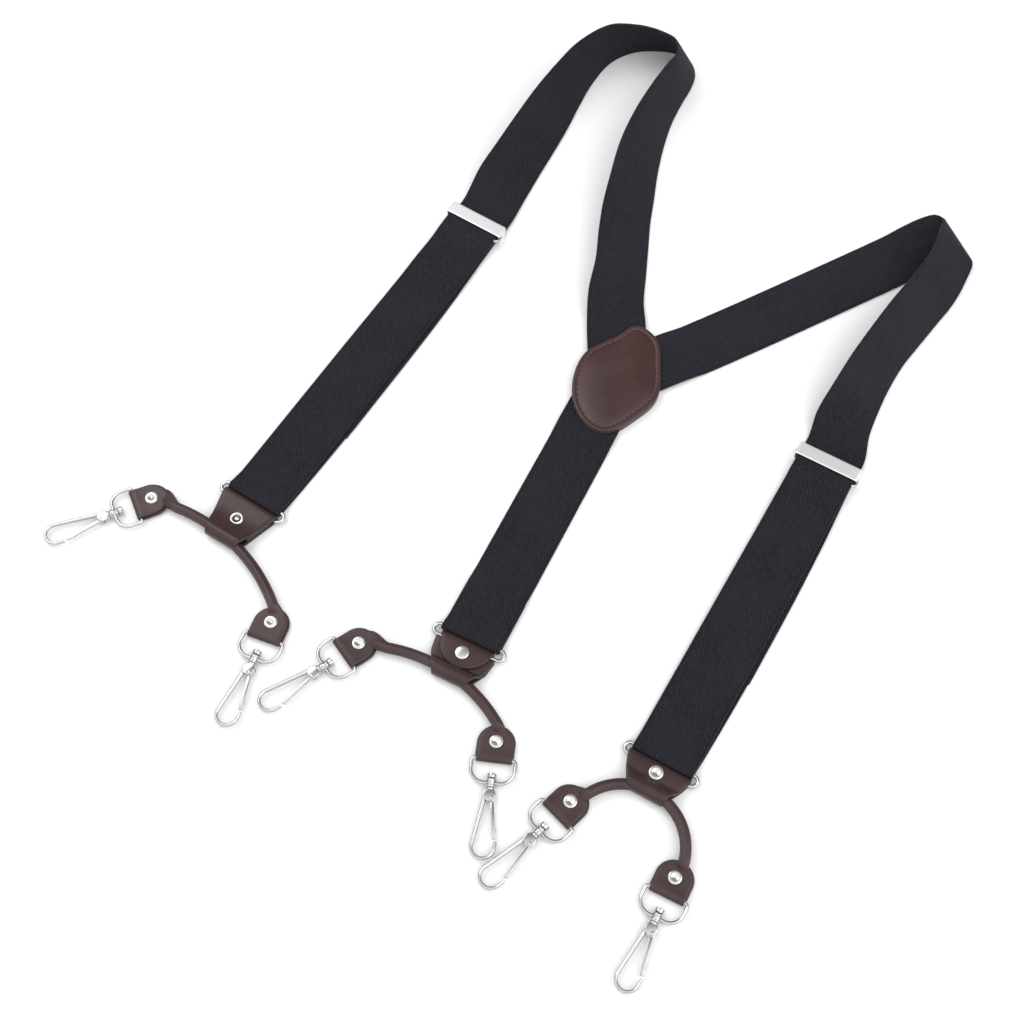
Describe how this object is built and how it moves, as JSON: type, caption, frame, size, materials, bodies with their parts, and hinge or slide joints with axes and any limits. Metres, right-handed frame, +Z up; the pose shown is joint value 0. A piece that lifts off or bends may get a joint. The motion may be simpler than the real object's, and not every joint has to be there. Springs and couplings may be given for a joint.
{
  "type": "trouser suspenders",
  "caption": "Y-back trouser suspenders: black elastic webbing, brown leather yoke, ends and rolled cross straps, with swivel snap hooks and sliding adjusters.",
  "frame": {"origin": "middle of the footprint of the laid-out suspenders, on the table surface", "axes": "+Z up from the table, +Y from the hooks towards the shoulder loops, +X to the right side strap"},
  "size_m": [0.5406, 0.6052, 0.0349],
  "materials": {
    "webbing": "ribbed elastic webbing",
    "end_leather": "smooth dark brown leather",
    "strap_leather": "rolled dark brown leather",
    "thread": "red-brown sewing thread",
    "brushed_metal": "brushed nickel plate",
    "ring_wire": "bright nickel wire",
    "rivet_metal": "bright nickel cap",
    "nickel": "bright nickel plate"
  },
  "bodies": {
    "yoke_and_straps": {"yoke_patch_front": "end_leather", "yoke_patch_back": "end_leather", "yoke_stitching": "thread", "left_shoulder_strap": "webbing", "right_shoulder_strap": "webbing", "back_strap": "webbing"},
    "left_strap_end": {"left_return_strap": "webbing"},
    "left_adjuster": {"left_adjuster_plate": "brushed_metal", "left_adjuster_bar": "brushed_metal"},
    "left_ring": {"left_ring": "ring_wire"},
    "left_leather": {"left_leather_end": "end_leather", "left_end_rivet": "rivet_metal"},
    "left_cross": {"left_cross_strap": "strap_leather", "left_tab_rivets": "rivet_metal"},
    "right_strap_end": {"right_return_strap": "webbing"},
    "right_adjuster": {"right_adjuster_plate": "brushed_metal", "right_adjuster_bar": "brushed_metal"},
    "right_ring": {"right_ring": "ring_wire"},
    "right_leather": {"right_leather_end": "end_leather", "right_end_rivet": "rivet_metal"},
    "right_cross": {"right_cross_strap": "strap_leather", "right_tab_rivets": "rivet_metal"},
    "back_ring": {"back_ring": "ring_wire"},
    "back_leather": {"back_leather_end": "end_leather", "back_end_rivet": "rivet_metal"},
    "back_cross": {"back_cross_strap": "strap_leather", "back_tab_rivets": "rivet_metal"},
    "left_outer_loop": {"left_outer_hook_loop": "nickel"},
    "left_outer_hook": {"left_outer_hook_body": "nickel", "left_outer_hook_pin": "nickel", "left_outer_hook_spring": "nickel"},
    "left_outer_gate": {"left_outer_hook_gate": "nickel"},
    "left_inner_loop": {"left_inner_hook_loop": "nickel"},
    "left_inner_hook": {"left_inner_hook_body": "nickel", "left_inner_hook_pin": "nickel", "left_inner_hook_spring": "nickel"},
    "left_inner_gate": {"left_inner_hook_gate": "nickel"},
    "back_outer_loop": {"back_outer_hook_loop": "nickel"},
    "back_outer_hook": {"back_outer_hook_body": "nickel", "back_outer_hook_pin": "nickel", "back_outer_hook_spring": "nickel"},
    "back_outer_gate": {"back_outer_hook_gate": "nickel"},
    "back_inner_loop": {"back_inner_hook_loop": "nickel"},
    "back_inner_hook": {"back_inner_hook_body": "nickel", "back_inner_hook_pin": "nickel", "back_inner_hook_spring": "nickel"},
    "back_inner_gate": {"back_inner_hook_gate": "nickel"},
    "right_outer_loop": {"right_outer_hook_loop": "nickel"},
    "right_outer_hook": {"right_outer_hook_body": "nickel", "right_outer_hook_pin": "nickel", "right_outer_hook_spring": "nickel"},
    "right_outer_gate": {"right_outer_hook_gate": "nickel"},
    "right_inner_loop": {"right_inner_hook_loop": "nickel"},
    "right_inner_hook": {"right_inner_hook_body": "nickel", "right_inner_hook_pin": "nickel", "right_inner_hook_spring": "nickel"},
    "right_inner_gate": {"right_inner_hook_gate": "nickel"}
  },
  "joints": [
    {"name": "left_end_slide", "type": "slide", "parent": "yoke_and_straps", "child": "left_strap_end", "axis": [0.5388, 0.8425, 0], "range_m": [-0.015, 0.004], "deforming": ["left_return_strap"]},
    {"name": "left_adjuster_slide", "type": "slide", "parent": "left_strap_end", "child": "left_adjuster", "axis": [0.5388, 0.8425, 0], "range_m": [-0.015, 0.004], "deforming": ["left_return_strap"]},
    {"name": "left_ring_hinge", "type": "hinge", "parent": "left_strap_end", "child": "left_ring", "pos_m": [-0.154, -0.0313, 0.0027], "axis": [-0.8425, 0.5388, 0], "range_deg": [0, 60]},
    {"name": "left_leather_hinge", "type": "hinge", "parent": "left_ring", "child": "left_leather", "pos_m": [-0.15723, -0.03635, 0.0027], "axis": [-0.8425, 0.5388, 0], "range_deg": [0, 75]},
    {"name": "left_cross_strap_slide", "type": "hinge", "parent": "left_leather", "child": "left_cross", "pos_m": [-0.2395, -0.1371, 0.0047], "axis": [0, 0, 1], "range_deg": [-6, 7]},
    {"name": "right_end_slide", "type": "slide", "parent": "yoke_and_straps", "child": "right_strap_end", "axis": [0.5, 0.866, 0], "range_m": [-0.015, 0], "deforming": ["right_return_strap"]},
    {"name": "right_adjuster_slide", "type": "slide", "parent": "right_strap_end", "child": "right_adjuster", "axis": [0.5, 0.866, 0], "range_m": [-0.015, 0], "deforming": ["right_return_strap"]},
    {"name": "right_ring_hinge", "type": "hinge", "parent": "right_strap_end", "child": "right_ring", "pos_m": [0.0689, -0.1841, 0.0027], "axis": [-0.866, 0.5, 0], "range_deg": [0, 60]},
    {"name": "right_leather_hinge", "type": "hinge", "parent": "right_ring", "child": "right_leather", "pos_m": [0.0659, -0.1893, 0.0027], "axis": [-0.866, 0.5, 0], "range_deg": [0, 75]},
    {"name": "right_cross_strap_slide", "type": "hinge", "parent": "right_leather", "child": "right_cross", "pos_m": [0.0463, -0.2294, 0.0047], "axis": [0, 0, 1], "range_deg": [0, 24]},
    {"name": "back_ring_hinge", "type": "hinge", "parent": "yoke_and_straps", "child": "back_ring", "pos_m": [-0.0316, -0.1158, 0.0027], "axis": [-0.8949, 0.4462, 0], "range_deg": [0, 60]},
    {"name": "back_leather_hinge", "type": "hinge", "parent": "back_ring", "child": "back_leather", "pos_m": [-0.03428, -0.12117, 0.0027], "axis": [-0.8949, 0.4462, 0], "range_deg": [0, 75]},
    {"name": "back_cross_strap_slide", "type": "hinge", "parent": "back_leather", "child": "back_cross", "pos_m": [-0.0921, -0.2062, 0.0047], "axis": [0, 0, 1], "range_deg": [0, 6]},
    {"name": "left_outer_loop_hinge", "type": "hinge", "parent": "left_cross", "child": "left_outer_loop", "pos_m": [-0.2205, -0.0356, 0.0027], "axis": [-0.3907, 0.9205, 0], "range_deg": [0, 80]},
    {"name": "left_outer_swivel", "type": "hinge", "parent": "left_outer_loop", "child": "left_outer_hook", "pos_m": [-0.23247, -0.04068, 0.0027], "axis": [-0.9205, -0.3907, 0], "continuous": true},
    {"name": "left_outer_gate_hinge", "type": "hinge", "parent": "left_outer_hook", "child": "left_outer_gate", "pos_m": [-0.23961, -0.04534, 0.0027], "axis": [0, 0, -1], "range_deg": [0, 20], "stiffness_Nm_per_rad": 0.004, "springref_deg": -17.19},
    {"name": "left_inner_loop_hinge", "type": "hinge", "parent": "left_cross", "child": "left_inner_loop", "pos_m": [-0.1433, -0.116, 0.0027], "axis": [-0.9367, 0.3502, 0], "range_deg": [0, 80]},
    {"name": "left_inner_swivel", "type": "hinge", "parent": "left_inner_loop", "child": "left_inner_hook", "pos_m": [-0.14785, -0.12818, 0.0027], "axis": [-0.3502, -0.9367, 0], "continuous": true},
    {"name": "left_inner_gate_hinge", "type": "hinge", "parent": "left_inner_hook", "child": "left_inner_gate", "pos_m": [-0.14939, -0.13657, 0.0027], "axis": [0, 0, -1], "range_deg": [0, 20], "stiffness_Nm_per_rad": 0.004, "springref_deg": -17.19},
    {"name": "back_outer_loop_hinge", "type": "hinge", "parent": "back_cross", "child": "back_outer_loop", "pos_m": [-0.0995, -0.1249, 0.0027], "axis": [-0.5736, 0.8192, 0], "range_deg": [0, 80]},
    {"name": "back_outer_swivel", "type": "hinge", "parent": "back_outer_loop", "child": "back_outer_hook", "pos_m": [-0.11015, -0.13236, 0.0027], "axis": [-0.8192, -0.5736, 0], "continuous": true},
    {"name": "back_outer_gate_hinge", "type": "hinge", "parent": "back_outer_hook", "child": "back_outer_gate", "pos_m": [-0.11617, -0.1384, 0.0027], "axis": [0, 0, -1], "range_deg": [0, 20], "stiffness_Nm_per_rad": 0.004, "springref_deg": -17.19},
    {"name": "back_inner_loop_hinge", "type": "hinge", "parent": "back_cross", "child": "back_inner_loop", "pos_m": [-0.0192, -0.1839, 0.0027], "axis": [-0.9925, 0.1219, 0], "range_deg": [0, 80]},
    {"name": "back_inner_swivel", "type": "hinge", "parent": "back_inner_loop", "child": "back_inner_hook", "pos_m": [-0.02078, -0.1968, 0.0027], "axis": [-0.1219, -0.9925, 0], "continuous": true},
    {"name": "back_inner_gate_hinge", "type": "hinge", "parent": "back_inner_hook", "child": "back_inner_gate", "pos_m": [-0.02032, -0.20532, 0.0027], "axis": [0, 0, -1], "range_deg": [0, 20], "stiffness_Nm_per_rad": 0.004, "springref_deg": -17.19},
    {"name": "right_outer_loop_hinge", "type": "hinge", "parent": "right_cross", "child": "right_outer_loop", "pos_m": [0.0134, -0.2132, 0.0027], "axis": [-0.6884, 0.7254, 0], "range_deg": [0, 80]},
    {"name": "right_outer_swivel", "type": "hinge", "parent": "right_outer_loop", "child": "right_outer_hook", "pos_m": [0.00397, -0.22215, 0.0027], "axis": [-0.7254, -0.6884, 0], "continuous": true},
    {"name": "right_outer_gate_hinge", "type": "hinge", "parent": "right_outer_hook", "child": "right_outer_gate", "pos_m": [-0.00109, -0.22902, 0.0027], "axis": [0, 0, -1], "range_deg": [0, 20], "stiffness_Nm_per_rad": 0.004, "springref_deg": -17.19},
    {"name": "right_inner_loop_hinge", "type": "hinge", "parent": "right_cross", "child": "right_inner_loop", "pos_m": [0.0676, -0.2542, 0.0027], "axis": [-0.891, 0.454, 0], "range_deg": [0, 80]},
    {"name": "right_inner_swivel", "type": "hinge", "parent": "right_inner_loop", "child": "right_inner_hook", "pos_m": [0.0617, -0.26578, 0.0027], "axis": [-0.454, -0.891, 0], "continuous": true},
    {"name": "right_inner_gate_hinge", "type": "hinge", "parent": "right_inner_hook", "child": "right_inner_gate", "pos_m": [0.05922, -0.27395, 0.0027], "axis": [0, 0, -1], "range_deg": [0, 20], "stiffness_Nm_per_rad": 0.004, "springref_deg": -17.19}
  ],
  "couplings": [
    {"joint": "left_adjuster_slide", "follows": "left_end_slide", "ratio": 1},
    {"joint": "right_adjuster_slide", "follows": "right_end_slide", "ratio": 1}
  ]
}
